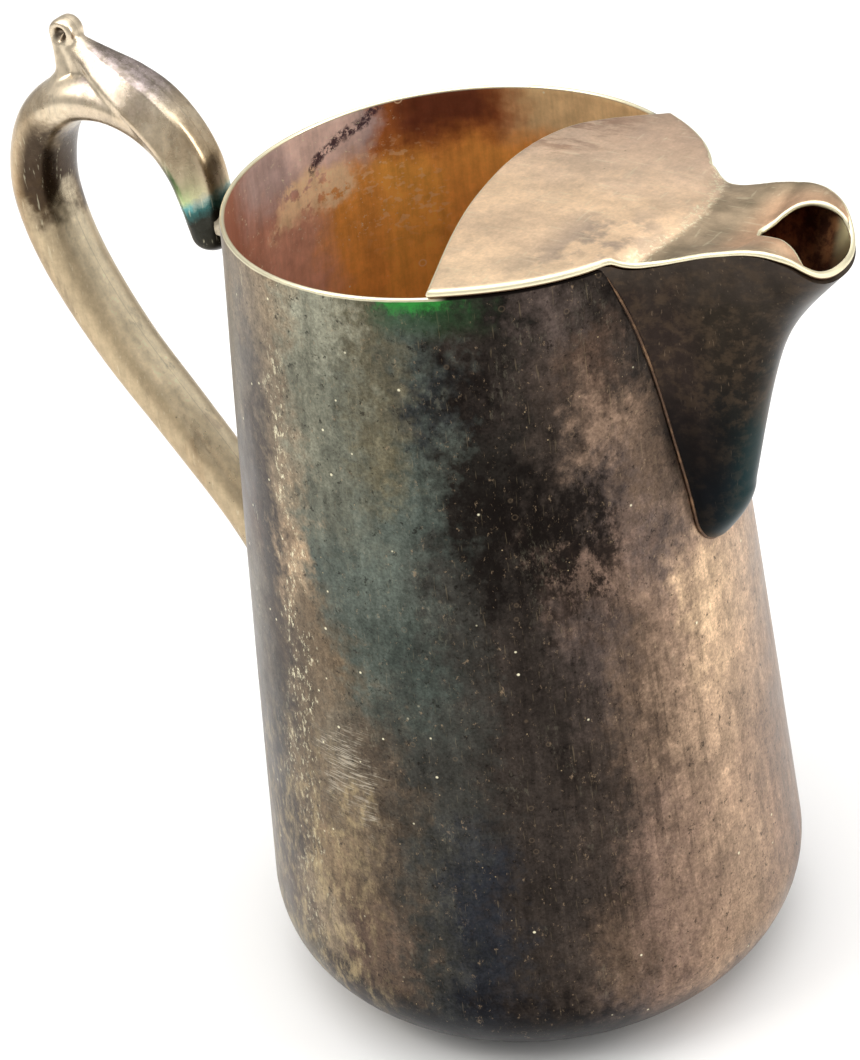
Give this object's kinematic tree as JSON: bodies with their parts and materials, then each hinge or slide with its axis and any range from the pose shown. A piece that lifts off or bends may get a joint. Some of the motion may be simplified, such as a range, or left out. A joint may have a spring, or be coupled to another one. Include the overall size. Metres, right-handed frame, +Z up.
{
  "type": "cream jug",
  "caption": "Tapered silver-plated cream jug with a flat half cover, a beak spout with a tear-shaped pouring hole and a scrolled loop handle.",
  "frame": {"origin": "centre of the flat underside that the jug stands on, on the body's axis", "axes": "+Z up along the body's axis, +X towards the spout, -X towards the handle; the mirror plane is y = 0"},
  "size_m": [0.1224, 0.0742, 0.1288],
  "materials": {
    "tarnished_plate": "satin silver plate, streaked with dark brown and blue-green tarnish, gilt inside",
    "dark_plate": "satin silver plate, nearly black with tarnish",
    "worn_plate": "satin silver plate, pinkish beige and finely scratched",
    "bright_plate": "polished silver plate with a pale gold tint"
  },
  "bodies": {
    "root": {"body_shell": "tarnished_plate", "base_disc": "tarnished_plate", "spout": "dark_plate", "half_cover": "worn_plate", "handle_left_half": "bright_plate", "handle_right_half": "bright_plate", "upper_boss": "bright_plate"}
  },
  "joints": []
}
